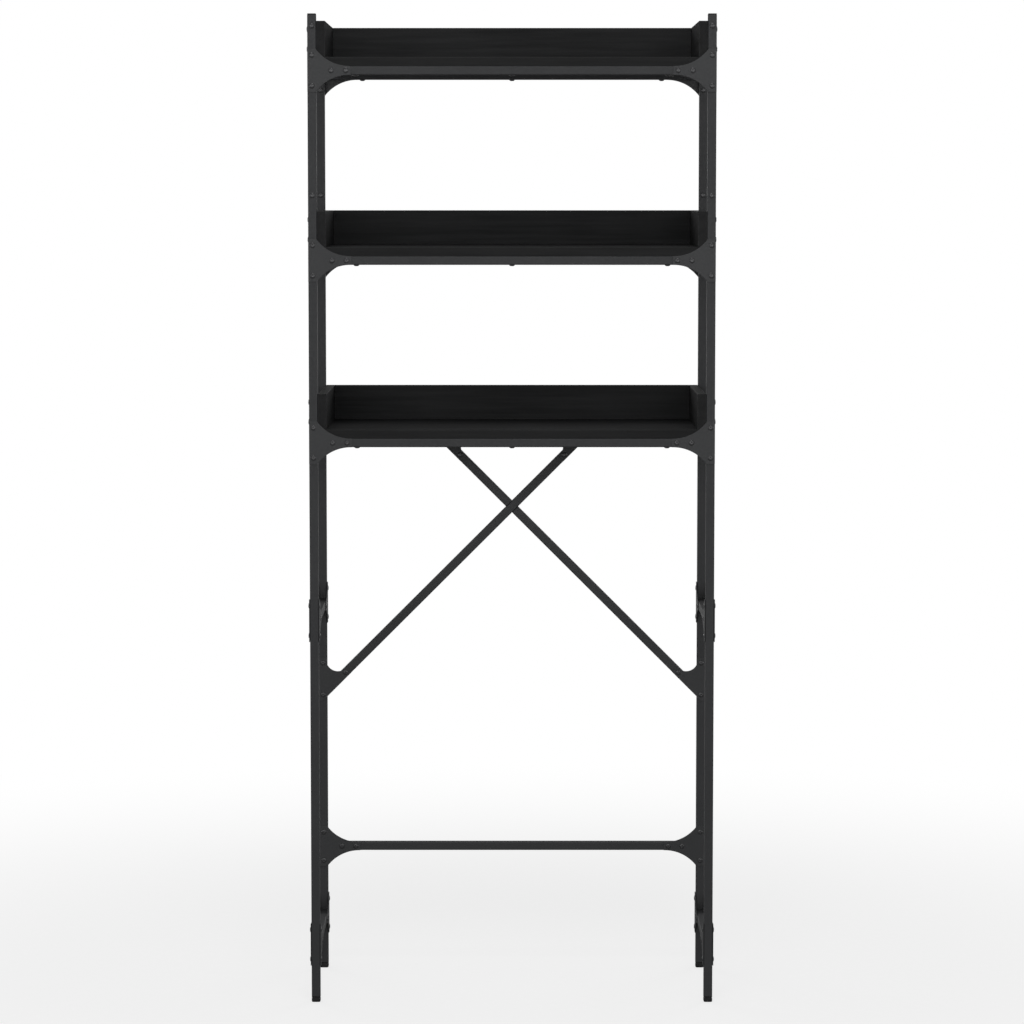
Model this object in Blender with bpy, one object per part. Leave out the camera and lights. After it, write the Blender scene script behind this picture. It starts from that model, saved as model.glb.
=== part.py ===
"""Storage rack that stands over a toilet: a bolted frame of square tube with three tray shelves.

Metres, +Z up. The origin is on the floor in the middle of the footprint, the front faces -Y and
+X is to the right of someone who stands in front of the rack.
"""

import math

import bmesh
import bpy
from mathutils import Vector

# Overall size, over the outer faces of the four posts.
WIDTH = 0.698
DEPTH = 0.300
HEIGHT = 1.710

# Square steel tube, used for every post, rail and brace bar.
TUBE = 0.015
TUBE_WALL = 0.001
HALF = TUBE / 2
BORE = HALF - TUBE_WALL

# Clearance between neighbouring pieces.
GAP = 0.0003

# Heights of the middles of the rails, and of the crossing of the back brace.
SHELF_RAILS = {"top": 1.6135, "middle": 1.290, "lower": 0.977}
SIDE_RAILS = {"upper": 0.6686, "bottom": 0.101}
LOW_BACK_RAIL = 0.224
BRACE_CROSSING = 0.8424

# Shelf boards. The side and back boards end this far above the middle of the shelf's rails.
BOARD = 0.015
BOARD_TOP = 0.084

# T-shaped gusset plate: a limb along the post, an arm along the rail, a curved web in each corner.
PLATE = 0.0012
LIMB_END = 0.0366
ARM_END = 0.0665
WEB_RADIUS = 0.072
WEB_ON_LIMB = 0.0355
WEB_ON_ARM = HALF + 0.057
LIMB_BOLT = 0.026
ARM_BOLTS = (0.033, 0.058)
TEE_BOLTS = ((0.0, LIMB_BOLT), (0.0, -LIMB_BOLT), (ARM_BOLTS[0], 0.0), (ARM_BOLTS[1], 0.0))
WEB_STEPS = 6

# Gusset plate at each end of the brace. Its arm leaves the limb at 45 degrees.
BRACE_LIMB_START = -0.012
BRACE_LIMB_END = 0.0675
BRACE_LIMB_BOLTS = (0.0, 0.058)
BRACE_ARM_BOLT = 0.058
NOTCH_RADIUS = 0.021
NOTCH_ON_LIMB = 0.056
NOTCH_ON_ARM = 0.0548
SLANT = math.sqrt(0.5)

# Bolts right through the tubes, with a low domed head at one end and a cap nut of the same shape at the
# other. Where one joins a plate, its shape starts half way into the plate.
BOLT_SIDES = 8
HOLE_SIDES = 6
HEAD_RADIUS = 0.00475
HEAD_TOP_RADIUS = 0.0029
HEAD_HEIGHT = 0.0014
SHANK_RADIUS = 0.002
BOLT_HOLE_RADIUS = 0.0027
NUT_SEAT = HALF + GAP
PLATE_FACE = NUT_SEAT + PLATE
INSIDE_PLATE = PLATE_FACE - PLATE / 2

# Push-in plastic glides that close the lower ends of the posts.
POST_FOOT = 0.010
GLIDE_CORNER = 0.0022
GLIDE_STEM_TOP = 0.024

# Where the tubes of the frame stand, and where the brace's middle lines meet those of the back posts and
# of the lower shelf's rail.
POST_X = WIDTH / 2 - HALF
POST_Y = DEPTH / 2 - HALF
INNER_X = WIDTH / 2 - TUBE
INNER_Y = DEPTH / 2 - TUBE
BRACE_FOOT = BRACE_CROSSING - POST_X
BRACE_HEAD = SHELF_RAILS["lower"] - BRACE_CROSSING
SIDES = {"left": -1, "right": 1}
FACES = {"front": -1, "back": 1}


def clear_scene():
    for obj in list(bpy.data.objects):
        bpy.data.objects.remove(obj, do_unlink=True)


def material(name, colour, metallic, roughness):
    """A Principled material of one colour."""
    made = bpy.data.materials.new(name)
    made.use_nodes = True
    shader = made.node_tree.nodes["Principled BSDF"]
    shader.inputs["Base Color"].default_value = (*colour, 1.0)
    shader.inputs["Metallic"].default_value = metallic
    shader.inputs["Roughness"].default_value = roughness
    made.diffuse_color = (*colour, 1.0)
    return made


def place(name, mesh, location=(0, 0, 0), rotation=(0, 0, 0)):
    """One sub-part, held by the rack's empty."""
    obj = bpy.data.objects.new(name, mesh)
    bpy.context.collection.objects.link(obj)
    obj.location = location
    obj.rotation_euler = rotation
    obj.parent = bpy.data.objects["rack"]
    return obj


def helper(name, mesh, location=(0, 0, 0)):
    """A cutter or a tool, which isn't part of the rack."""
    obj = place(name, mesh, location)
    obj.hide_render = True
    obj.display_type = "WIRE"
    return obj


def mesh_of(shape, name, finish):
    """Turns a bmesh into a mesh whose faces point out."""
    bmesh.ops.recalc_face_normals(shape, faces=shape.faces)
    mesh = bpy.data.meshes.new(name)
    shape.to_mesh(mesh)
    shape.free()
    mesh.materials.append(finish)
    return mesh


def skin(shape, first, second):
    """Joins two rings of vertices with a band of quads."""
    count = len(first)
    for i in range(count):
        j = (i + 1) % count
        shape.faces.new((first[i], first[j], second[j], second[i]))


def add_stack(shape, rings):
    """Adds a solid that is skinned over a row of rings of points and closed at both ends."""
    loops = [[shape.verts.new(point) for point in ring] for ring in rings]
    for first, second in zip(loops, loops[1:]):
        skin(shape, first, second)
    shape.faces.new(loops[0])
    shape.faces.new(loops[-1])


def add_turned(shape, profile, sides, centre, axis="Y"):
    """Adds a solid turned about a line along Y or X. The profile is (radius, distance) pairs."""
    rings = []
    for radius, along in profile:
        ring = []
        for i in range(sides):
            angle = 2 * math.pi * (i + 0.5) / sides
            aside, up = radius * math.cos(angle), radius * math.sin(angle)
            offset = (aside, along, up) if axis == "Y" else (along, aside, up)
            ring.append(Vector(centre) + Vector(offset))
        rings.append(ring)
    add_stack(shape, rings)


def tube_mesh(name, start, end, finish, start_cut=None, end_cut=None):
    """A square tube with open ends. Each end is cut square, or by the plane with the normal given."""
    start, end = Vector(start), Vector(end)
    axis = (end - start).normalized()
    across = Vector((1, 0, 0)) if abs(axis.y) > 0.5 else Vector((0, 1, 0))
    up = axis.cross(across)
    corners = [across + up, up - across, -across - up, across - up]
    shape = bmesh.new()

    def ring(half, point, cut):
        normal = Vector(cut or axis)
        verts = []
        for corner in corners:
            aside = corner * half
            verts.append(shape.verts.new(point + aside - axis * aside.dot(normal) / axis.dot(normal)))
        return verts

    outer_start, outer_end = ring(HALF, start, start_cut), ring(HALF, end, end_cut)
    inner_start, inner_end = ring(BORE, start, start_cut), ring(BORE, end, end_cut)
    skin(shape, outer_start, outer_end)
    skin(shape, outer_end, inner_end)
    skin(shape, inner_end, inner_start)
    skin(shape, inner_start, outer_start)
    return mesh_of(shape, name, finish)


def board_mesh(name, size, finish):
    """A plain board, centred on its own origin."""
    shape = bmesh.new()
    bmesh.ops.create_cube(shape, size=1.0)
    bmesh.ops.scale(shape, vec=size, verts=shape.verts)
    return mesh_of(shape, name, finish)


def arc(start, end, radius):
    """Points from start to end on an arc whose centre is to the right of the way between them."""
    start, end = Vector(start), Vector(end)
    chord = end - start
    right = Vector((chord.y, -chord.x)).normalized()
    centre = (start + end) / 2 + right * math.sqrt(radius**2 - (chord.length / 2) ** 2)
    first = math.atan2(start.y - centre.y, start.x - centre.x)
    last = math.atan2(end.y - centre.y, end.x - centre.x)
    turn = (last - first + math.pi) % (2 * math.pi) - math.pi
    points = []
    for i in range(WEB_STEPS + 1):
        angle = first + turn * i / WEB_STEPS
        points.append((centre.x + radius * math.cos(angle), centre.y + radius * math.sin(angle)))
    return points


def tee_outline():
    """The T-shaped plate, as (along the arm, along the limb)."""
    limb_back = [(HALF, LIMB_END), (-HALF, LIMB_END), (-HALF, -LIMB_END), (HALF, -LIMB_END)]
    lower_web = arc((HALF, -WEB_ON_LIMB), (WEB_ON_ARM, -HALF), WEB_RADIUS)
    upper_web = arc((WEB_ON_ARM, HALF), (HALF, WEB_ON_LIMB), WEB_RADIUS)
    return limb_back + lower_web + [(ARM_END, -HALF), (ARM_END, HALF)] + upper_web


def on_arm(along, aside):
    """A point on the brace plate's arm, as (across the limb, along the limb)."""
    return ((along - aside) * SLANT, (along + aside) * SLANT)


def brace_outline():
    """The plate at a brace bar's end, as (across the limb, along the limb)."""
    corner = (BRACE_LIMB_START + TUBE * SLANT, BRACE_LIMB_START)
    arm_tip = [on_arm(ARM_END, -HALF), on_arm(ARM_END, HALF)]
    notch = arc(on_arm(NOTCH_ON_ARM, HALF), (HALF, NOTCH_ON_LIMB), NOTCH_RADIUS)
    limb_end = [(HALF, BRACE_LIMB_END), (-HALF, BRACE_LIMB_END)]
    return [(-HALF, BRACE_LIMB_START), corner] + arm_tip + notch + limb_end


def brace_plate_bolts():
    """The brace plate's bolts, as (across the limb, along the limb)."""
    return [(0.0, along) for along in BRACE_LIMB_BOLTS] + [on_arm(BRACE_ARM_BOLT, 0.0)]


def add_plate(shape, outline, face):
    """Adds a flat plate on the front (-1) or the back (1) of a tube that is centred on the origin."""
    near, far = face * NUT_SEAT, face * PLATE_FACE
    add_stack(shape, [[(x, y, z) for x, z in outline] for y in (near, far)])


def bolt_profile(pair):
    """A bolt from the plate on the front of a tube to its nut, on the tube or on a second plate."""
    head = [
        (HEAD_TOP_RADIUS, -PLATE_FACE - HEAD_HEIGHT),
        (HEAD_RADIUS, -PLATE_FACE),
        (HEAD_RADIUS, -INSIDE_PLATE),
        (SHANK_RADIUS, -INSIDE_PLATE),
    ]
    if pair:
        return head + [(radius, -along) for radius, along in reversed(head)]
    nut = [(HEAD_RADIUS, NUT_SEAT), (HEAD_TOP_RADIUS, NUT_SEAT + HEAD_HEIGHT)]
    return head + [(SHANK_RADIUS, NUT_SEAT)] + nut


def joined_mesh(name, plates, bolts, finish):
    """The union of plates and bolts as one mesh."""
    body = helper(name, mesh_of(plates, name, finish))
    tool = helper(name + "_bolts", mesh_of(bolts, name + "_bolts", finish))
    union = body.modifiers.new("bolts", "BOOLEAN")
    union.operation = "UNION"
    union.solver = "EXACT"
    union.object = tool
    bpy.context.view_layer.update()
    graph = bpy.context.evaluated_depsgraph_get()
    mesh = bpy.data.meshes.new_from_object(body.evaluated_get(graph))
    for obj in (body, tool):
        bpy.data.objects.remove(obj)
    return mesh


def gusset_mesh(name, outline, centres, pair, finish):
    """A plate for the front of a tube, or a pair for both its faces, with bolts through the tube."""
    plates, bolts = bmesh.new(), bmesh.new()
    for face in (-1, 1) if pair else (-1,):
        add_plate(plates, outline, face)
    for x, z in centres:
        add_turned(bolts, bolt_profile(pair), BOLT_SIDES, (x, 0, z))
    return joined_mesh(name, plates, bolts, finish)


def brace_gusset_mesh(side, finish):
    """The plate at a brace bar's end, its arm to the right (1) or to the left (-1) of its limb."""
    outline = [(side * x, z) for x, z in brace_outline()]
    centres = [(side * x, z) for x, z in brace_plate_bolts()]
    return gusset_mesh("brace_gusset", outline, centres, False, finish)


def glide_mesh(finish):
    """A plastic glide: a rounded pad, a shallow waist, a collar and a stem that plugs the tube."""
    collar_top = POST_FOOT - GAP
    profile = [
        (0.0062, 0.0),
        (0.0076, 0.0016),
        (0.0076, 0.0066),
        (0.0067, 0.0072),
        (0.0067, 0.0083),
        (0.0075, 0.0088),
        (0.0075, collar_top),
        (BORE - GAP, collar_top),
        (BORE - 2 * GAP, GLIDE_STEM_TOP),
    ]
    rings = []
    for half, z in profile:
        short = half - GLIDE_CORNER
        quarter = [(half, short), (short, half), (-short, half), (-half, short)]
        rings.append([(x, y, z) for x, y in quarter + [(-x, -y) for x, y in quarter]])
    shape = bmesh.new()
    add_stack(shape, rings)
    return mesh_of(shape, "glide", finish)


def drill(obj, across=(), through=()):
    """Drills a tube along X at each (y, z) and along Y at each (x, z) from its own origin."""
    shape = bmesh.new()
    profile = [(BOLT_HOLE_RADIUS, -TUBE), (BOLT_HOLE_RADIUS, TUBE)]
    for y, z in across:
        add_turned(shape, profile, HOLE_SIDES, (0, y, z), "X")
    for x, z in through:
        add_turned(shape, profile, HOLE_SIDES, (x, 0, z), "Y")
    finish = obj.data.materials[0]
    cutter = helper(obj.name + "_drill", mesh_of(shape, "drill", finish), obj.location)
    cut = obj.modifiers.new("bolt_holes", "BOOLEAN")
    cut.operation = "DIFFERENCE"
    cut.solver = "EXACT"
    cut.object = cutter


def make_posts(coat, plastic):
    """Four posts, each one length of tube with a glide in its foot and holes for the gussets' bolts."""
    tube = tube_mesh("post", (0, 0, POST_FOOT), (0, 0, HEIGHT), coat)
    glide = glide_mesh(plastic)
    across = [(0.0, height + bolt) for height in SIDE_RAILS.values() for bolt in (-LIMB_BOLT, LIMB_BOLT)]
    for face, y in FACES.items():
        heights = list(SHELF_RAILS.values())
        if face == "back":
            heights.append(LOW_BACK_RAIL)
        through = [(0.0, height + bolt) for height in heights for bolt in (-LIMB_BOLT, LIMB_BOLT)]
        if face == "back":
            through += [(0.0, BRACE_FOOT + bolt) for bolt in BRACE_LIMB_BOLTS]
        for side, x in SIDES.items():
            corner = (x * POST_X, y * POST_Y, 0)
            drill(place(f"post_{face}_{side}", tube, corner), across, through)
            place(f"foot_glide_{face}_{side}", glide, corner)


def make_cross_rails(coat):
    """The rails between the left and the right posts, under each shelf and low at the back."""
    reach = INNER_X - GAP
    rail = tube_mesh("cross_rail", (-reach, 0, 0), (reach, 0, 0), coat)
    ends = [(x * (POST_X - bolt), 0.0) for x in SIDES.values() for bolt in ARM_BOLTS]
    braced = ends + [(x * (BRACE_HEAD - bolt), 0.0) for x in SIDES.values() for bolt in BRACE_LIMB_BOLTS]
    for shelf, height in SHELF_RAILS.items():
        for face, y in FACES.items():
            holes = braced if (shelf, face) == ("lower", "back") else ends
            drill(place(f"{shelf}_shelf_{face}_rail", rail, (0, y * POST_Y, height)), (), holes)
    drill(place("low_back_rail", rail, (0, POST_Y, LOW_BACK_RAIL)), (), ends)


def make_side_rails(coat):
    """The rails between the front and the back posts, drilled for their gussets' bolts."""
    reach = INNER_Y - GAP
    rail = tube_mesh("side_rail", (0, -reach, 0), (0, reach, 0), coat)
    holes = [(y * (POST_Y - bolt), 0.0) for y in FACES.values() for bolt in ARM_BOLTS]
    for level, height in SIDE_RAILS.items():
        for side, x in SIDES.items():
            drill(place(f"{level}_side_rail_{side}", rail, (x * POST_X, 0, height)), holes)


def make_boards(laminate):
    """Each shelf is a base board on the rails, with two side boards and a back board on it."""
    base_width = 2 * (INNER_X - GAP)
    base = board_mesh("base_board", (base_width, DEPTH, BOARD), laminate)
    base_middle = HALF + GAP + BOARD / 2
    low = HALF + 2 * GAP + BOARD
    upstand = BOARD_TOP - low
    middle = (BOARD_TOP + low) / 2
    side_board = board_mesh("side_board", (BOARD, DEPTH, upstand), laminate)
    back_board = board_mesh("back_board", (base_width - 2 * BOARD - 2 * GAP, BOARD, upstand), laminate)
    for shelf, rail in SHELF_RAILS.items():
        place(f"{shelf}_shelf_base_board", base, (0, 0, rail + base_middle))
        place(f"{shelf}_shelf_back_board", back_board, (0, (DEPTH - BOARD) / 2, rail + middle))
        for side, x in SIDES.items():
            across = x * (base_width - BOARD) / 2
            place(f"{shelf}_shelf_{side}_board", side_board, (across, 0, rail + middle))


def make_brace(coat):
    """The crossed bars at the back: one runs through, and the other is two halves that meet it."""
    foot_x = INNER_X - GAP
    foot = (-foot_x, 0, BRACE_CROSSING - foot_x)
    rise = BRACE_HEAD - HALF - GAP
    head = (rise, 0, BRACE_CROSSING + rise)
    level, upright, slanting = (0, 0, 1), (1, 0, 0), (-1, 0, 1)
    beside = (HALF + GAP) * SLANT
    above = (-beside, 0, BRACE_CROSSING + beside)
    below = (beside, 0, BRACE_CROSSING - beside)
    in_from_end = BRACE_ARM_BOLT * SLANT
    foot_hole = (-POST_X + in_from_end, BRACE_FOOT + in_from_end)
    head_hole = (BRACE_HEAD - in_from_end, SHELF_RAILS["lower"] - in_from_end)
    bars = {
        "brace_through_bar": (foot, head, upright, level, (foot_hole, head_hole)),
        "brace_upper_half": (
            above, (-head[0], 0, head[2]), slanting, level, [(-head_hole[0], head_hole[1])]
        ),
        "brace_lower_half": (
            below, (-foot[0], 0, foot[2]), slanting, upright, [(-foot_hole[0], foot_hole[1])]
        ),
    }
    for name, (start, end, start_cut, end_cut, holes) in bars.items():
        bar = tube_mesh(name, start, end, coat, start_cut, end_cut)
        drill(place(name, bar, (0, POST_Y, 0)), (), holes)


def make_tee_gussets(coat):
    """T plates where cross rails meet posts. The low back rail has them on its front."""
    tee = gusset_mesh("tee_gusset", tee_outline(), TEE_BOLTS, False, coat)
    turned = {
        ("front", "left"): (0, 0, 0),
        ("front", "right"): (0, math.pi, 0),
        ("back", "left"): (math.pi, 0, 0),
        ("back", "right"): (0, 0, math.pi),
    }
    for (face, side), rotation in turned.items():
        corner = (SIDES[side] * POST_X, FACES[face] * POST_Y)
        for shelf, height in SHELF_RAILS.items():
            place(f"{shelf}_shelf_{face}_{side}_gusset", tee, (*corner, height), rotation)
    for side, x in SIDES.items():
        place(f"low_back_{side}_gusset", tee, (x * POST_X, POST_Y, LOW_BACK_RAIL), turned["front", side])


def make_side_gussets(coat):
    """Bolted pairs of T plates where side rails meet posts."""
    pair = gusset_mesh("tee_gusset_pair", tee_outline(), TEE_BOLTS, True, coat)
    for level, height in SIDE_RAILS.items():
        for face, y in FACES.items():
            for side, x in SIDES.items():
                corner = (x * POST_X, y * POST_Y, height)
                place(f"{level}_side_{face}_{side}_gusset_pair", pair, corner, (0, 0, -y * math.pi / 2))


def make_brace_gussets(coat):
    """The plates that tie the brace to the back posts and to the lower shelf's back rail."""
    arm_right, arm_left = brace_gusset_mesh(1, coat), brace_gusset_mesh(-1, coat)
    rail = SHELF_RAILS["lower"]
    quarter = math.pi / 2
    place("brace_foot_gusset_left", arm_right, (-POST_X, POST_Y, BRACE_FOOT))
    place("brace_foot_gusset_right", arm_left, (POST_X, POST_Y, BRACE_FOOT))
    place("brace_head_gusset_left", arm_right, (-BRACE_HEAD, POST_Y, rail), (0, quarter, 0))
    place("brace_head_gusset_right", arm_left, (BRACE_HEAD, POST_Y, rail), (0, -quarter, 0))


def make_rack():
    coat = material("black_powder_coat", (0.035, 0.036, 0.038), 0.0, 0.45)
    plate_coat = material("gusset_powder_coat", (0.042, 0.043, 0.045), 0.0, 0.42)
    laminate = material("black_laminate", (0.014, 0.0145, 0.015), 0.0, 0.5)
    plastic = material("black_plastic", (0.010, 0.010, 0.011), 0.0, 0.55)
    bpy.context.collection.objects.link(bpy.data.objects.new("rack", None))
    make_posts(coat, plastic)
    make_cross_rails(coat)
    make_side_rails(coat)
    make_boards(laminate)
    make_brace(coat)
    make_tee_gussets(plate_coat)
    make_side_gussets(plate_coat)
    make_brace_gussets(plate_coat)


clear_scene()
make_rack()
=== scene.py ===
"""Over-the-toilet rack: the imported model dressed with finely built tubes, plates, bolts and boards.

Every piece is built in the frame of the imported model, from the boxes of the nodes it stands for, and
its mesh is in that frame too, so object coordinates are the rack's own metres. The front faces -Y.
"""

import math
import random

import bmesh
import bpy
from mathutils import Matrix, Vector


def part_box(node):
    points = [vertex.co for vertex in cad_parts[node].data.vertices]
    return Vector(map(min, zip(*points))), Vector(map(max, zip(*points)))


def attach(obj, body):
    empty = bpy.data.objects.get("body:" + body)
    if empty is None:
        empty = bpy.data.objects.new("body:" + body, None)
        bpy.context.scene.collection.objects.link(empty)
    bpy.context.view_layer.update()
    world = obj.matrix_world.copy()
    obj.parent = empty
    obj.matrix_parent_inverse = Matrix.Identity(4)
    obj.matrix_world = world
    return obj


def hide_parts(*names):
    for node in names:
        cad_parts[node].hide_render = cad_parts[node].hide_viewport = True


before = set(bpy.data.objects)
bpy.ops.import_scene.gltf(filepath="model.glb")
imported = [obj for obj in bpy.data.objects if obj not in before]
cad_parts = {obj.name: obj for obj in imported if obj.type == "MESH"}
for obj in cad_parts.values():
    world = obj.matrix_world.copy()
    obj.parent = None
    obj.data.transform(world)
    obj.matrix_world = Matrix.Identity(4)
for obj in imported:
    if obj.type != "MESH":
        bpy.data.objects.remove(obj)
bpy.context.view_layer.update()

X, Y, Z = Vector((1, 0, 0)), Vector((0, 1, 0)), Vector((0, 0, 1))
SIDES = {"left": -X, "right": X}
FACES = {"front": -Y, "back": Y}
SHELVES = ("top", "middle", "lower")
LEVELS = ("upper", "bottom")
SLANT = math.sqrt(0.5)

# Square tube: half its width, the wall, the rounding of its corners and of its sawn ends.
HALF = 0.0075
WALL = 0.001
CORNER = 0.0017
BORE_CORNER = 0.0008
LIP = 0.00025

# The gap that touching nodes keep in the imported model.
GAP = 0.0003

# The band along an edge over which the finish turns into that of the flat.
SOFT = 0.0009

# Steps in the rounding of a corner, of a rim and of a plate's web, and the least angle of a sharp edge.
CORNER_STEPS = 4
RIM_STEPS = 3
WEB_STEPS = 16
SHARP_ANGLE = math.radians(40)

# Gusset plates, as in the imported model, with rounded ends and rims. Their places on a plate are
# measured from where the middles of its limb and its arm meet.
PLATE = 0.0012
PLATE_RIM = 0.00030
PLATE_SOFT = 0.00040
END_CORNER = 0.00095
LEAST_CORNER = 0.00005
LIMB_END = 0.0366
ARM_END = 0.0665
WEB_RADIUS = 0.072
WEB_ON_LIMB = 0.0355
WEB_ON_ARM = HALF + 0.057
LIMB_BOLT = 0.026
ARM_BOLTS = (0.033, 0.058)
TEE_BOLTS = ((0.0, LIMB_BOLT), (0.0, -LIMB_BOLT), (ARM_BOLTS[0], 0.0), (ARM_BOLTS[1], 0.0))
BRACE_LIMB_START = -0.012
BRACE_LIMB_END = 0.0675
BRACE_LIMB_BOLTS = (0.0, 0.058)
BRACE_ARM_BOLT = 0.058
NOTCH_RADIUS = 0.021
NOTCH_ON_LIMB = 0.056
NOTCH_ON_ARM = 0.0548

# Button heads: (radius, height) from the seat to the rim of the socket, then the socket itself.
HEAD = (
    (0.00475, 0.0), (0.00475, 0.00022), (0.00464, 0.00046), (0.00434, 0.00072), (0.00384, 0.00097),
    (0.00316, 0.00118), (0.00246, 0.00133), (0.00190, 0.00140),
)
NUT_HEIGHT = 0.0014
SOCKET_FLAT = 0.0015
SOCKET_RIM = 0.00132
SOCKET_FLOOR = 0.00045
SOCKET_POINT = 0.00025
HEAD_SIDES = 24
SOCKET_SECTOR = math.pi / 3

# Boards: the rounding of their edges.
BOARD_RIM = 0.0006
BOARD_CORNER = 0.0008

# Screws: the heights over a shelf rail's middle of the two through each post into a side board, the
# places along X of the three under each rail with how much taller their heads are, and the single
# ones in the fronts of the posts, each a shelf and a height over its rail's middle.
BOARD_SCREWS = (0.036, 0.070)
BASE_SCREWS = (-0.2667, 0.0, 0.2667)
BASE_SCREW_TALL = 1.6
POST_SCREWS = (("middle", 0.111), ("top", 0.0755))

# The corner of a moulded piece is at most this share of its half width.
MOULD_CORNER = 0.35

# The plug in a post's top, upwards: (step in from the tube's face, height over the post's top, edge).
# It shows as a cap of the height CAP.
CAP = 0.0020
PLUG = (
    (WALL + GAP, -0.014, 0.0), (WALL + GAP / 2, -CAP - 0.0002, 0.0), (0.0003, -CAP + 0.00015, 0.0),
    (0.0001, -CAP + 0.0004, 0.0), (0.0001, -0.0008, 1.0), (0.0003, -0.0004, 1.0),
    (0.0007, -0.0001, 1.0), (0.0013, 0.0, 0.0),
)

# The glide under a post, upwards: (half width, height over the floor, edge). Its stem is added to it.
GLIDE = (
    (0.0058, 0.0, 0.0), (0.0066, 0.0003, 1.0), (0.0072, 0.0009, 1.0), (HALF, 0.0018, 0.0),
    (HALF, 0.0062, 0.0), (0.0073, 0.0067, 1.0), (0.0067, 0.0070, 0.0), (0.0066, 0.0081, 0.0),
    (0.0072, 0.0085, 1.0), (HALF, 0.0088, 0.0),
)

# The sockets of the Mix node when it mixes colours.
MIX_AMOUNT, MIX_FIRST, MIX_SECOND, MIX_RESULT = 0, 6, 7, 2

# Colours of the finishes: a coat's darker and lighter clouds and its edges, and the rest's base tones.
TUBE_TONES = ((0.032, 0.033, 0.035), (0.039, 0.040, 0.042), (0.050, 0.051, 0.053))
PLATE_TONES = ((0.032, 0.033, 0.035), (0.039, 0.040, 0.042), (0.054, 0.055, 0.057))
BOARD_TONE = (0.0312, 0.0316, 0.0323)
BAND_TONE = (0.0180, 0.0183, 0.0187)
ZINC_TONES = ((0.040, 0.040, 0.042), (0.062, 0.062, 0.065))
PLASTIC_TONE = (0.006, 0.006, 0.0065)

# The floor: a disc a little under the rack, its two tones, how much of its brightness doesn't depend
# on the lights, where its fade into the white starts and ends, and the grey with which it returns light.
FLOOR_RADIUS = 3.0
FLOOR_SIDES = 96
FLOOR_DROP = 0.0002
FLOOR_TONES = ((0.90, 0.90, 0.90), (0.93, 0.93, 0.93))
FLOOR_GLOW = 0.74
FLOOR_FADE = (0.7, 2.6)
FLOOR_BOUNCE = 0.26

# The background's colour, and the strength of the even light from all round.
WHITE = (1, 1, 1, 1)
FILL = 0.28

# Soft boxes: name, place, the height they look at, width and height, and watts. There is one of the
# first ones on each side, and the last two stand in the middle.
SIDE_LIGHTS = (
    ("front_light", (2.6, -6.4, 1.9), 1.0, (3.0, 3.0), 42.5),
    ("light", (7.4, 0.0, 0.7), 0.7, (3.0, 1.0), 80.0),
    ("back_light", (4.3, 5.4, 1.9), 1.0, (3.0, 3.0), 84.0),
)
MIDDLE_LIGHTS = (
    ("front_light", (0.0, -7.4, 1.9), 1.1, (4.0, 1.6), 53.0),
    ("top_light", (0.0, -2.3, 4.4), 0.9, (1.2, 1.2), 32.0),
)

# The camera: its place, how far it looks down, and its lens and sensor in millimetres.
CAMERA_PLACE = (0.0, -6.4628, 1.4145)
CAMERA_TILT = math.radians(5.040)
LENS = 129.33
SENSOR = 36.0

# Turns the heads of the bolts and screws.
LUCK = random.Random(11)


# ---------------------------------------------------------------- materials


def node(tree, kind, values=None, **settings):
    """Adds a node. A value that is another node's output is linked, and any other is set."""
    made = tree.nodes.new(kind)
    for key, value in settings.items():
        setattr(made, key, value)
    for key, value in (values or {}).items():
        if isinstance(value, bpy.types.NodeSocket):
            tree.links.new(value, made.inputs[key])
        else:
            made.inputs[key].default_value = value
    return made


def blank(name, specular):
    """A new material with its Principled shader."""
    made = bpy.data.materials.new(name)
    made.use_nodes = True
    shader = made.node_tree.nodes["Principled BSDF"]
    shader.inputs["Specular IOR Level"].default_value = specular
    return made, made.node_tree, shader


def noise(tree, where, scale, detail=2.0, rough=0.55):
    """Fine noise, as its grey output."""
    values = {"Vector": where, "Scale": scale, "Detail": detail, "Roughness": rough}
    return node(tree, "ShaderNodeTexNoise", values).outputs[0]


def spread(tree, value, low, high, start=0.3, end=0.7):
    """The grey value, stretched to run from low to high."""
    values = {"Value": value, "From Min": start, "From Max": end, "To Min": low, "To Max": high}
    return node(tree, "ShaderNodeMapRange", values).outputs[0]


def blend(tree, amount, first, second):
    """A mix of two colours, each a socket or three numbers."""
    made = node(tree, "ShaderNodeMix", data_type="RGBA")
    for key, value in ((MIX_AMOUNT, amount), (MIX_FIRST, first), (MIX_SECOND, second)):
        if isinstance(value, bpy.types.NodeSocket):
            tree.links.new(value, made.inputs[key])
        else:
            made.inputs[key].default_value = value if key == MIX_AMOUNT else (*value, 1.0)
    return made.outputs[MIX_RESULT]


def product(tree, first, second):
    """Two grey values, multiplied."""
    return node(tree, "ShaderNodeMath", {0: first, 1: second}, operation="MULTIPLY").outputs[0]


def edge_value(tree):
    """How much the surface belongs to an edge, from the mesh."""
    return node(tree, "ShaderNodeAttribute", attribute_name="edge").outputs["Fac"]


def place(tree):
    """Where the surface is, in the rack's metres."""
    return node(tree, "ShaderNodeTexCoord").outputs["Object"]


def scaled(tone, factor):
    """A tone, lighter or darker by a factor."""
    return tuple(factor * part for part in tone)


def bump(tree, height, strength, depth, under=None):
    """A bump, on top of another one if given."""
    values = {"Height": height, "Strength": strength, "Distance": depth}
    if under is not None:
        values["Normal"] = under
    return node(tree, "ShaderNodeBump", values).outputs[0]


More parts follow.
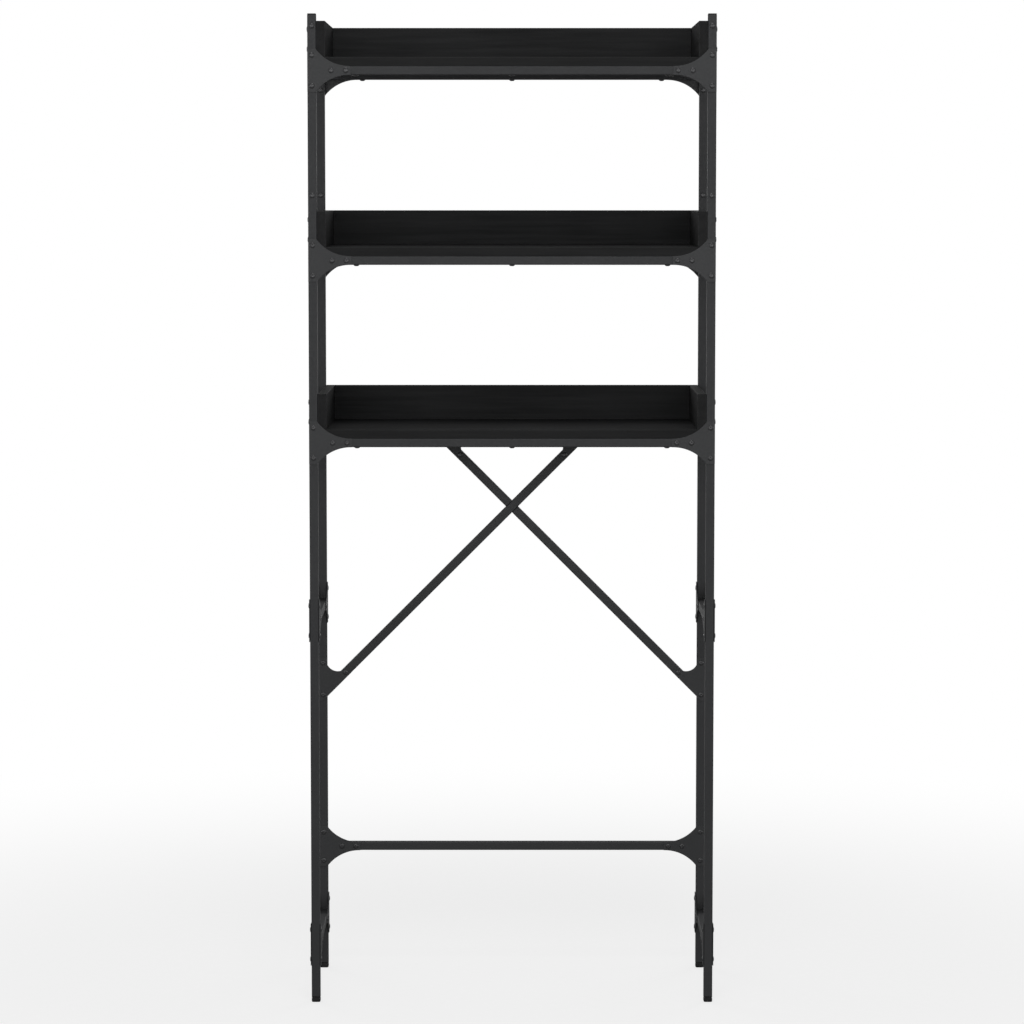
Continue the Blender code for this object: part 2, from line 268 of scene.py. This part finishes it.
def powder_coat(name, tones, roughness, specular, wear):
    """Baked powder coat on steel: fine grain, a faint orange peel and slightly thinner coat on edges."""
    made, tree, shader = blank(name, specular)
    dark, light, edge_tone = tones
    where = place(tree)
    grain = noise(tree, where, scale=2400.0, detail=2.0)
    peel = noise(tree, where, scale=330.0, detail=1.0)
    cloud = noise(tree, where, scale=7.0, detail=3.0)
    speck = noise(tree, where, scale=900.0, detail=3.0, rough=0.7)
    tone = blend(tree, spread(tree, cloud, low=0.0, high=1.0), dark, light)
    specks = spread(tree, speck, low=0.0, high=0.35, start=0.45, end=0.75)
    tone = blend(tree, specks, tone, edge_tone)
    thin = product(tree, edge_value(tree), spread(tree, speck, low=0.0, high=wear))
    tree.links.new(blend(tree, thin, tone, edge_tone), shader.inputs["Base Color"])
    smoothest, roughest = roughness
    tree.links.new(spread(tree, peel, low=smoothest, high=roughest), shader.inputs["Roughness"])
    normal = bump(tree, peel, strength=0.22, depth=0.00030)
    normal = bump(tree, grain, strength=0.30, depth=0.00007, under=normal)
    tree.links.new(normal, shader.inputs["Normal"])
    return made


def laminate(name, along, tone, roughness, specular, pore_depth):
    """Black melamine with a faint wood print, whose grain runs along X (0) or Y (1)."""
    made, tree, shader = blank(name, specular)
    where = place(tree)
    stretch = [1.0, 1.0, 1.0]
    stretch[along] = 0.045
    stretched = node(tree, "ShaderNodeMapping", {"Vector": where, "Scale": stretch}).outputs[0]
    figure = noise(tree, stretched, scale=95.0, detail=5.0, rough=0.62)
    pores = noise(tree, stretched, scale=900.0, detail=2.0, rough=0.6)
    cloud = noise(tree, where, scale=5.0, detail=2.0)
    veins, faded, worn = scaled(tone, 0.62), scaled(tone, 1.5), scaled(tone, 2.2)
    printed = spread(tree, figure, low=0.0, high=1.0, start=0.35, end=0.65)
    shade = blend(tree, printed, veins, tone)
    shade = blend(tree, spread(tree, cloud, low=0.0, high=0.35), shade, faded)
    wear = product(tree, edge_value(tree), spread(tree, figure, low=0.1, high=0.6))
    tree.links.new(blend(tree, wear, shade, worn), shader.inputs["Base Color"])
    roughest, smoothest = roughness
    tree.links.new(spread(tree, pores, low=roughest, high=smoothest), shader.inputs["Roughness"])
    normal = bump(tree, pores, strength=0.35, depth=pore_depth)
    normal = bump(tree, figure, strength=0.2, depth=0.0001, under=normal)
    tree.links.new(normal, shader.inputs["Normal"])
    return made


def board_face(name, along):
    """The laminate on a board's faces."""
    return laminate(name, along, BOARD_TONE, roughness=(0.66, 0.52), specular=0.025, pore_depth=0.00006)


def edge_band(name, along):
    """The banding on a board's edges, a little smoother than its faces."""
    return laminate(name, along, BAND_TONE, roughness=(0.54, 0.42), specular=0.09, pore_depth=0.00003)


def moulded(name, tone):
    """Black polypropylene with the fine spark-eroded texture of its mould."""
    made, tree, shader = blank(name, specular=0.4)
    where = place(tree)
    spark = noise(tree, where, scale=3200.0, detail=2.0)
    flow = noise(tree, where, scale=130.0, detail=2.0)
    streaks = spread(tree, flow, low=0.0, high=0.7)
    tree.links.new(blend(tree, streaks, tone, scaled(tone, 1.9)), shader.inputs["Base Color"])
    tree.links.new(spread(tree, flow, low=0.62, high=0.46), shader.inputs["Roughness"])
    tree.links.new(bump(tree, spark, strength=0.35, depth=0.00006), shader.inputs["Normal"])
    return made


def plated(name, dark, light):
    """Black zinc on the bolts and screws: satin metal with faint rubbed patches."""
    made, tree, shader = blank(name, specular=0.5)
    shader.inputs["Metallic"].default_value = 0.35
    where = place(tree)
    rub = noise(tree, where, scale=620.0, detail=3.0, rough=0.65)
    pit = noise(tree, where, scale=3600.0, detail=1.0)
    patches = spread(tree, rub, low=0.0, high=1.0)
    tree.links.new(blend(tree, patches, dark, light), shader.inputs["Base Color"])
    tree.links.new(spread(tree, rub, low=0.34, high=0.22), shader.inputs["Roughness"])
    tree.links.new(bump(tree, pit, strength=0.15, depth=0.00003), shader.inputs["Normal"])
    return made


TUBE_COAT = powder_coat("tube_powder_coat", TUBE_TONES, (0.50, 0.62), specular=0.35, wear=0.3)
PLATE_COAT = powder_coat("plate_powder_coat", PLATE_TONES, (0.44, 0.56), specular=0.39, wear=0.45)
BOLT_BLACK = plated("bolt_black_zinc", *ZINC_TONES)
ALONG_X = board_face("board_laminate_along_x", 0)
ALONG_Y = board_face("board_laminate_along_y", 1)
RIM_X = edge_band("board_edge_band_along_x", 0)
RIM_Y = edge_band("board_edge_band_along_y", 1)
PLASTIC = moulded("plug_and_glide_plastic", PLASTIC_TONE)


# ---------------------------------------------------------------- shapes


def new_shape():
    """An empty bmesh whose points hold how much they belong to an edge."""
    shape = bmesh.new()
    shape.verts.layers.float.new("edge")
    return shape


def ring_of(shape, points, edges):
    """A ring of points, each with its edge value."""
    layer = shape.verts.layers.float["edge"]
    made = []
    for point, edge in zip(points, edges):
        vert = shape.verts.new(point)
        vert[layer] = edge
        made.append(vert)
    return made


def skin(shape, first, second, finish=0):
    """Joins two rings with a band of quads."""
    count = len(first)
    for i in range(count):
        j = (i + 1) % count
        shape.faces.new((first[i], first[j], second[j], second[i])).material_index = finish


def cap(shape, ring):
    """Closes a ring with one face."""
    shape.faces.new(ring)


def piece(name, shape, finishes, nodes=()):
    """Shows a shape as a piece that rides on the rack and stands for its CAD nodes, if it has any."""
    bmesh.ops.recalc_face_normals(shape, faces=shape.faces)
    mesh = bpy.data.meshes.new(name)
    shape.to_mesh(mesh)
    shape.free()
    for finish in finishes:
        mesh.materials.append(finish)
    mesh.polygons.foreach_set("use_smooth", [True] * len(mesh.polygons))
    mesh.set_sharp_from_angle(angle=SHARP_ANGLE)
    obj = bpy.data.objects.new(name, mesh)
    bpy.context.collection.objects.link(obj)
    weighted = obj.modifiers.new("weighted_normals", "WEIGHTED_NORMAL")
    weighted.keep_sharp = True
    weighted.weight = 100
    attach(obj, "root")
    if nodes:
        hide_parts(*nodes)


def middle_of(name):
    """The middle of a node's box."""
    low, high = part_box(name)
    return (low + high) / 2


def rounded_square(half, radius):
    """(x, y, edge) round a square with rounded corners. The edge value is 1 on the corners."""
    quarter = [(half, half - radius - SOFT, 0.0)]
    for i in range(CORNER_STEPS + 1):
        angle = math.pi / 2 * i / CORNER_STEPS
        x = half - radius + radius * math.cos(angle)
        y = half - radius + radius * math.sin(angle)
        quarter.append((x, y, 1.0))
    quarter.append((half - radius - SOFT, half, 0.0))
    points = []
    for turn in range(4):
        for x, y, edge in quarter:
            for _ in range(turn):
                x, y = -y, x
            points.append((x, y, edge))
    return points


def add_tube(shape, start, end, start_cut=None, end_cut=None):
    """Square tube between two points, each end cut square or by the plane with the normal given."""
    axis = (end - start).normalized()
    across = X if abs(axis.y) > 0.5 else Y
    up = axis.cross(across)

    def ring(half, radius, point, cut, along, lip):
        normal = cut or axis
        points, edges = [], []
        for x, y, edge in rounded_square(half, radius):
            aside = across * x + up * y
            points.append(point + aside + axis * (along - aside.dot(normal) / axis.dot(normal)))
            edges.append(1.0 if lip else edge)
        return ring_of(shape, points, edges)

    rings = [
        ring(HALF - LIP, CORNER, start, start_cut, 0.0, True),
        ring(HALF, CORNER, start, start_cut, LIP, True),
        ring(HALF, CORNER, start, start_cut, LIP + SOFT, False),
        ring(HALF, CORNER, end, end_cut, -LIP - SOFT, False),
        ring(HALF, CORNER, end, end_cut, -LIP, True),
        ring(HALF - LIP, CORNER, end, end_cut, 0.0, True),
        ring(HALF - WALL, BORE_CORNER, end, end_cut, 0.0, False),
        ring(HALF - WALL, BORE_CORNER, start, start_cut, 0.0, False),
    ]
    for first, second in zip(rings, rings[1:] + rings[:1]):
        skin(shape, first, second)


def inset(outline, distance):
    """A counter-clockwise outline of (point, is corner), moved inwards."""
    moved = []
    count = len(outline)
    for i in range(count):
        before, here, after = (outline[k % count][0] for k in (i - 1, i, i + 1))
        first, second = (here - before).normalized(), (after - here).normalized()
        inward = Vector((-first.y, first.x))
        both = (inward + Vector((-second.y, second.x))).normalized()
        moved.append((here + both * (distance / both.dot(inward)), outline[i][1]))
    return moved


def soften(outline, radius):
    """The points of an outline, with its corners rounded."""
    count = len(outline)
    made = []
    for i, (here, corner) in enumerate(outline):
        if not corner:
            made.append(here)
            continue
        to_before = (outline[i - 1][0] - here).normalized()
        to_after = (outline[(i + 1) % count][0] - here).normalized()
        reach = radius / math.tan(to_before.angle(to_after) / 2)
        start, end = here + to_before * reach, here + to_after * reach
        for k in range(CORNER_STEPS + 1):
            t = k / CORNER_STEPS
            made.append(start * (1 - t) ** 2 + here * (2 * t * (1 - t)) + end * t**2)
    return made


def arc(start, end, radius):
    """Points from start to end on an arc whose centre is to the right of the way between them."""
    start, end = Vector(start), Vector(end)
    chord = end - start
    right = Vector((chord.y, -chord.x)).normalized()
    centre = (start + end) / 2 + right * math.sqrt(radius**2 - (chord.length / 2) ** 2)
    first = math.atan2(start.y - centre.y, start.x - centre.x)
    last = math.atan2(end.y - centre.y, end.x - centre.x)
    turn = (last - first + math.pi) % (2 * math.pi) - math.pi
    points = []
    for i in range(WEB_STEPS + 1):
        angle = first + turn * i / WEB_STEPS
        points.append(centre + Vector((math.cos(angle), math.sin(angle))) * radius)
    return points


def tee_outline():
    """The T plate, as (along its arm, along its limb)."""
    limb = [(-HALF, LIMB_END), (-HALF, -LIMB_END), (HALF, -LIMB_END)]
    points = [(Vector(p), True) for p in limb]
    points += [(p, False) for p in arc((HALF, -WEB_ON_LIMB), (WEB_ON_ARM, -HALF), WEB_RADIUS)]
    points += [(Vector((ARM_END, -HALF)), True), (Vector((ARM_END, HALF)), True)]
    points += [(p, False) for p in arc((WEB_ON_ARM, HALF), (HALF, WEB_ON_LIMB), WEB_RADIUS)]
    return points + [(Vector((HALF, LIMB_END)), True)]


def on_arm(along, aside):
    """A point on the brace plate's slanting arm."""
    return ((along - aside) * SLANT, (along + aside) * SLANT)


def brace_outline():
    """The plate at a brace bar's end, as (across its limb, along its limb)."""
    heel = (BRACE_LIMB_START + 2 * HALF * SLANT, BRACE_LIMB_START)
    points = [((-HALF, BRACE_LIMB_START), True), (heel, True)]
    points += [(on_arm(ARM_END, -HALF), True), (on_arm(ARM_END, HALF), True)]
    notch = arc(on_arm(NOTCH_ON_ARM, HALF), (HALF, NOTCH_ON_LIMB), NOTCH_RADIUS)
    points += [(p, False) for p in notch]
    points += [((HALF, BRACE_LIMB_END), True), ((-HALF, BRACE_LIMB_END), True)]
    return [(Vector(p), corner) for p, corner in points]


class Seat:
    """Where a flat piece lies: its origin, its two directions and the way out of it."""

    def __init__(self, origin, along, up, out):
        self.origin, self.along, self.up, self.out = origin, along, up, out

    def at(self, u, v, w):
        """A point so far along, up and out."""
        return self.origin + self.along * u + self.up * v + self.out * w


def add_slab(shape, outline, seat, low, high, rim, soft, corner, rim_finish=0):
    """A flat piece between two heights over its seat, with rounded rims and corners.

    Its profile is (step in from the outline, height, edge value). The edge value fades over soft.
    """
    profile = [(rim + soft, low, 0.0)]
    for i in range(RIM_STEPS + 1):
        angle = math.pi / 2 * i / RIM_STEPS
        profile.append((rim * (1 - math.sin(angle)), low + rim * (1 - math.cos(angle)), 1.0))
    if high - low > 2 * (rim + soft):
        profile += [(0.0, low + rim + soft, 0.0), (0.0, high - rim - soft, 0.0)]
    for i in range(RIM_STEPS, -1, -1):
        angle = math.pi / 2 * i / RIM_STEPS
        profile.append((rim * (1 - math.sin(angle)), high - rim * (1 - math.cos(angle)), 1.0))
    profile.append((rim + soft, high, 0.0))
    rings = []
    for distance, height, edge in profile:
        flat = soften(inset(outline, distance), max(corner - distance, LEAST_CORNER))
        points = [seat.at(p.x, p.y, height) for p in flat]
        rings.append(ring_of(shape, points, [edge] * len(points)))
    last = len(rings) - 2
    for i, (first, second) in enumerate(zip(rings, rings[1:])):
        skin(shape, first, second, rim_finish if 0 < i < last else 0)
    cap(shape, rings[0])
    cap(shape, rings[-1])


def add_head(shape, seat_point, out, tall=1.0):
    """A button head with a hexagonal socket, turned at random. It may be taller than usual."""
    aside = Z if abs(out.z) < 0.5 else X
    across = out.cross(aside)
    spin = LUCK.uniform(0, SOCKET_SECTOR)
    angles = [2 * math.pi * i / HEAD_SIDES for i in range(HEAD_SIDES)]

    def ring(radii, height):
        points = []
        for angle, radius in zip(angles, radii):
            turned = angle + spin
            spoke = aside * math.cos(turned) + across * math.sin(turned)
            points.append(seat_point + spoke * radius + out * (height * tall))
        return ring_of(shape, points, [0.0] * HEAD_SIDES)

    half_sector = SOCKET_SECTOR / 2
    hexagon = [SOCKET_FLAT / math.cos((a + half_sector) % SOCKET_SECTOR - half_sector) for a in angles]
    rings = [ring([radius] * HEAD_SIDES, height) for radius, height in HEAD]
    rings.append(ring(hexagon, SOCKET_RIM))
    rings.append(ring(hexagon, SOCKET_FLOOR))
    for first, second in zip(rings, rings[1:]):
        skin(shape, first, second)
    cap(shape, rings[0])
    bottom = shape.verts.new(seat_point + out * (SOCKET_POINT * tall))
    for i in range(HEAD_SIDES):
        shape.faces.new((rings[-1][i], rings[-1][(i + 1) % HEAD_SIDES], bottom))


def add_turned_square(shape, centre, profile):
    """A rounded square lofted upwards. The profile is (half width, height, edge), the ends closed."""
    rings = []
    for half, height, edge in profile:
        corners = rounded_square(half, min(CORNER, half * MOULD_CORNER))
        points = [Vector((centre.x + x, centre.y + y, height)) for x, y, _ in corners]
        rings.append(ring_of(shape, points, [edge] * len(points)))
    for first, second in zip(rings, rings[1:]):
        skin(shape, first, second)
    cap(shape, rings[0])
    cap(shape, rings[-1])


# ---------------------------------------------------------------- the rack


def make_plug(post, top):
    """The flat plug in the top of a post."""
    profile = [(HALF - step, top.z + above, edge) for step, above, edge in PLUG]
    shape = new_shape()
    add_turned_square(shape, top, profile)
    piece(post.replace("post", "post_plug"), shape, [PLASTIC])


def make_glide(glide, post_foot):
    """The glide under a post, with a waist and a stem that goes up inside the tube."""
    low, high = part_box(glide)
    profile = [(half, low.z + above, edge) for half, above, edge in GLIDE]
    profile += [
        (HALF, post_foot.z - GAP, 0.0),
        (HALF - WALL - GAP, post_foot.z - GAP, 0.0),
        (HALF - WALL - 2 * GAP, high.z, 0.0),
    ]
    shape = new_shape()
    add_turned_square(shape, (low + high) / 2, profile)
    piece(f"{glide}_pad", shape, [PLASTIC], [glide])


def make_posts():
    """The posts, which end under the caps of their plugs, the plugs and the glides."""
    for face in FACES:
        for side in SIDES:
            post = f"post_{face}_{side}"
            low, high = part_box(post)
            middle = (low + high) / 2
            foot = Vector((middle.x, middle.y, low.z))
            top = Vector((middle.x, middle.y, high.z))
            shape = new_shape()
            add_tube(shape, foot, top - Z * CAP)
            piece(f"{post}_tube", shape, [TUBE_COAT], [post])
            make_plug(post, top)
            make_glide(f"foot_glide_{face}_{side}", foot)


def straight_tube(name):
    """A rail, from its node's box."""
    low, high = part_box(name)
    size = high - low
    longest = max(range(3), key=lambda i: size[i])
    start, end = (low + high) / 2, (low + high) / 2
    start[longest], end[longest] = low[longest], high[longest]
    shape = new_shape()
    add_tube(shape, start, end)
    piece(f"{name}_tube", shape, [TUBE_COAT], [name])


def make_rails():
    """The rails under the shelves, the low one at the back and the two on each side."""
    for shelf in SHELVES:
        for face in FACES:
            straight_tube(f"{shelf}_shelf_{face}_rail")
    straight_tube("low_back_rail")
    for level in LEVELS:
        for side in SIDES:
            straight_tube(f"{level}_side_rail_{side}")


def make_brace():
    """The crossed bars, from the corners of their boxes, finished like the plates.

    Each bar has its ends' (x, z) and the planes that cut them. The middle of a mitred end is half its
    width from the corner, along the cut. That of a square end is half the tube from it, on the slant.
    """
    mitre, square = 2 * HALF * SLANT, HALF * SLANT
    y = middle_of("brace_through_bar").y
    low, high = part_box("brace_through_bar")
    bars = {"brace_through_bar": ((low.x, low.z + mitre), (high.x - mitre, high.z), X, Z)}
    low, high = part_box("brace_upper_half")
    bars["brace_upper_half"] = ((high.x - square, low.z + square), (low.x + mitre, high.z), None, Z)
    low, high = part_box("brace_lower_half")
    bars["brace_lower_half"] = ((low.x + square, high.z - square), (high.x, low.z + mitre), None, X)
    for name, ((x0, z0), (x1, z1), start_cut, end_cut) in bars.items():
        shape = new_shape()
        add_tube(shape, Vector((x0, y, z0)), Vector((x1, y, z1)), start_cut, end_cut)
        piece(f"{name}_tube", shape, [PLATE_COAT], [name])


def plate_origin(name, along, up, out, up_start=None):
    """The middle of the tube under a plate, from the plate's box.

    The box starts behind that middle: by half a tube along, by up_start up, and by half a tube and a
    nut out. Without up_start, the middle in that direction is the box's own.
    """
    low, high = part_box(name)
    origin = (low + high) / 2
    for way, distance in ((along, HALF), (up, up_start), (out, HALF + GAP + NUT_HEIGHT)):
        if distance is None:
            continue
        axis = max(range(3), key=lambda i: abs(way[i]))
        origin[axis] = low[axis] + distance if way[axis] > 0 else high[axis] - distance
    return origin


def add_bolt(shape, seat, u, v, near, far):
    """A bolt's head on its plate, and its nut on the far side of the tube."""
    add_head(shape, seat.at(u, v, near), seat.out)
    add_head(shape, seat.at(u, v, -far), -seat.out)


def bolted_plate(name, outline, bolts, seat, pair):
    """A gusset plate, or a pair on both faces of the tube, and its bolts."""
    inner, outer = HALF + GAP, HALF + GAP + PLATE
    shape = new_shape()
    add_slab(shape, outline, seat, inner, outer, PLATE_RIM, PLATE_SOFT, END_CORNER)
    if pair:
        add_slab(shape, outline, seat, -outer, -inner, PLATE_RIM, PLATE_SOFT, END_CORNER)
    piece(f"{name}_plate", shape, [PLATE_COAT], [name])
    shape = new_shape()
    for u, v in bolts:
        add_bolt(shape, seat, u, v, outer, outer if pair else HALF)
    piece(f"{name}_bolts", shape, [BOLT_BLACK], [name])


def make_gussets():
    """The T plates, on one face of the frame or in pairs on both faces of a side."""
    tee = tee_outline()
    for side, way in SIDES.items():
        for shelf in SHELVES:
            for face, out in FACES.items():
                name = f"{shelf}_shelf_{face}_{side}_gusset"
                seat = Seat(plate_origin(name, -way, Z, out), -way, Z, out)
                bolted_plate(name, tee, TEE_BOLTS, seat, False)
        name = f"low_back_{side}_gusset"
        seat = Seat(plate_origin(name, -way, Z, -Y), -way, Z, -Y)
        bolted_plate(name, tee, TEE_BOLTS, seat, False)
        for level in LEVELS:
            for face, out in FACES.items():
                name = f"{level}_side_{face}_{side}_gusset_pair"
                origin = plate_origin(name, -out, Z, way)
                origin.x = middle_of(name).x
                bolted_plate(name, tee, TEE_BOLTS, Seat(origin, -out, Z, way), True)


def make_brace_gussets():
    """The plates at the ends of the brace: on a post at each foot, and on the rail at each head."""
    outline = brace_outline()
    bolts = [(0.0, along) for along in BRACE_LIMB_BOLTS] + [on_arm(BRACE_ARM_BOLT, 0.0)]
    for side, way in SIDES.items():
        for end, along, up in (("foot", -way, Z), ("head", -Z, -way)):
            name = f"brace_{end}_gusset_{side}"
            origin = plate_origin(name, along, up, -Y, -BRACE_LIMB_START)
            bolted_plate(name, outline, bolts, Seat(origin, along, up, -Y), False)


def board(name, along, up, out, finishes, wider=0.0):
    """A board, from its node's box, whose faces look along out and back.

    It reaches down to what it stands on, and a wider one reaches its neighbours left and right.
    """
    low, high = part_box(name)
    low = low - Z * GAP - X * wider
    high = high + X * wider
    middle, size = (low + high) / 2, high - low
    half_u = abs(size.dot(along)) / 2
    half_v = abs(size.dot(up)) / 2
    half_w = abs(size.dot(out)) / 2
    corners = [(-half_u, -half_v), (half_u, -half_v), (half_u, half_v), (-half_u, half_v)]
    outline = [(Vector(p), True) for p in corners]
    seat = Seat(middle, along, up, out)
    shape = new_shape()
    add_slab(shape, outline, seat, -half_w, half_w, BOARD_RIM, SOFT, BOARD_CORNER, 1)
    piece(f"{name}_panel", shape, finishes, [name])


def make_boards():
    """Each tray's base, back and side boards, with the print along each of them."""
    for shelf in SHELVES:
        board(f"{shelf}_shelf_base_board", X, Y, Z, [ALONG_X, RIM_X])
        board(f"{shelf}_shelf_back_board", X, Z, Y, [ALONG_X, RIM_X], GAP)
        for side in SIDES:
            board(f"{shelf}_shelf_{side}_board", Y, Z, X, [ALONG_Y, RIM_Y])


def make_screws():
    """The screws that hold the boards, and the single ones in the fronts of the posts."""
    for shelf in SHELVES:
        rails = {face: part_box(f"{shelf}_shelf_{face}_rail") for face in FACES}
        height = middle_of(f"{shelf}_shelf_front_rail").z
        for side, way in SIDES.items():
            shape = new_shape()
            for face in FACES:
                low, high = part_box(f"post_{face}_{side}")
                outside = (low + high) / 2
                outside.x = low.x if way.x < 0 else high.x
                for above in BOARD_SCREWS:
                    outside.z = height + above
                    add_head(shape, outside.copy(), way)
            piece(f"{shelf}_shelf_{side}_board_screws", shape, [BOLT_BLACK])
        shape = new_shape()
        for low, high in rails.values():
            for x in BASE_SCREWS:
                add_head(shape, Vector((x, (low.y + high.y) / 2, low.z)), -Z, BASE_SCREW_TALL)
        piece(f"{shelf}_shelf_base_board_screws", shape, [BOLT_BLACK])
    shape = new_shape()
    for face in FACES:
        for side in SIDES:
            low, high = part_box(f"post_{face}_{side}")
            for shelf, above in POST_SCREWS:
                height = middle_of(f"{shelf}_shelf_front_rail").z + above
                add_head(shape, Vector(((low.x + high.x) / 2, low.y, height)), -Y)
    piece("post_screws", shape, [BOLT_BLACK])


# ---------------------------------------------------------------- the studio


def make_floor():
    """A pale floor with faint shadows, that fades into the white background and lights little."""
    made = bpy.data.materials.new("studio_floor")
    made.use_nodes = True
    tree = made.node_tree
    tree.nodes.clear()
    where = place(tree)
    away = node(tree, "ShaderNodeVectorMath", {0: where}, operation="LENGTH").outputs["Value"]
    near, far = FLOOR_FADE
    span = {"Value": away, "From Min": near, "From Max": far}
    fade = node(tree, "ShaderNodeMapRange", span, interpolation_type="SMOOTHSTEP").outputs[0]
    seen = node(tree, "ShaderNodeLightPath").outputs["Is Camera Ray"]
    paper = noise(tree, where, scale=60.0, detail=2.0)
    tone = blend(tree, spread(tree, paper, low=0.0, high=1.0), *FLOOR_TONES)
    bounce = (FLOOR_BOUNCE, FLOOR_BOUNCE, FLOOR_BOUNCE, 1.0)
    dim = node(tree, "ShaderNodeBsdfDiffuse", {"Color": bounce})
    lit = node(tree, "ShaderNodeBsdfDiffuse", {"Color": tone})
    glow = node(tree, "ShaderNodeEmission", {"Color": WHITE, "Strength": 1.0})
    pale = node(tree, "ShaderNodeMixShader", {0: FLOOR_GLOW, 1: lit.outputs[0], 2: glow.outputs[0]})
    faded = node(tree, "ShaderNodeMixShader", {0: fade, 1: pale.outputs[0], 2: glow.outputs[0]})
    both = node(tree, "ShaderNodeMixShader", {0: seen, 1: dim.outputs[0], 2: faded.outputs[0]})
    node(tree, "ShaderNodeOutputMaterial", {"Surface": both.outputs[0]})
    shape = bmesh.new()
    bmesh.ops.create_circle(shape, cap_ends=True, segments=FLOOR_SIDES, radius=FLOOR_RADIUS)
    mesh = bpy.data.meshes.new("studio_floor")
    shape.to_mesh(mesh)
    shape.free()
    mesh.materials.append(made)
    floor = bpy.data.objects.new("studio_floor", mesh)
    bpy.context.collection.objects.link(floor)
    floor.location = (0, 0, -FLOOR_DROP)


def make_world():
    """White to the camera, and a dimmer even light on the rack."""
    world = bpy.data.worlds.new("studio")
    world.use_nodes = True
    tree = world.node_tree
    tree.nodes.clear()
    seen = node(tree, "ShaderNodeLightPath").outputs["Is Camera Ray"]
    fill = node(tree, "ShaderNodeBackground", {"Color": WHITE, "Strength": FILL})
    white = node(tree, "ShaderNodeBackground", {"Color": WHITE, "Strength": 1.0})
    both = node(tree, "ShaderNodeMixShader", {0: seen, 1: fill.outputs[0], 2: white.outputs[0]})
    node(tree, "ShaderNodeOutputWorld", {"Surface": both.outputs[0]})
    bpy.context.scene.world = world


def soft_light(name, location, height, size, power):
    """A soft box of a width and a height, that looks at the rack's axis at a height. It doesn't show."""
    lamp = bpy.data.lights.new(name, "AREA")
    lamp.shape = "RECTANGLE"
    lamp.size, lamp.size_y = size
    lamp.energy = power
    obj = bpy.data.objects.new(name, lamp)
    bpy.context.collection.objects.link(obj)
    obj.location = location
    way = Vector((0.0, 0.0, height)) - Vector(location)
    obj.rotation_euler = way.to_track_quat("-Z", "Y").to_euler()
    obj.visible_camera = False


def make_lights():
    """Soft boxes in front, at the sides, behind and above."""
    for side, way in SIDES.items():
        for name, (x, y, z), height, size, power in SIDE_LIGHTS:
            soft_light(f"{side}_{name}", (way.x * x, y, z), height, size, power)
    for light in MIDDLE_LIGHTS:
        soft_light(*light)


def make_camera():
    """A long lens in front of the rack, a little above its middle shelf."""
    lens = bpy.data.cameras.new("camera")
    lens.lens = LENS
    lens.sensor_width = SENSOR
    camera = bpy.data.objects.new("camera", lens)
    bpy.context.collection.objects.link(camera)
    camera.location = CAMERA_PLACE
    camera.rotation_euler = (math.pi / 2 - CAMERA_TILT, 0.0, 0.0)
    bpy.context.scene.camera = camera
    bpy.context.scene.view_settings.view_transform = "Standard"


make_posts()
make_rails()
make_brace()
make_gussets()
make_brace_gussets()
make_boards()
make_screws()
make_floor()
make_world()
make_lights()
make_camera()
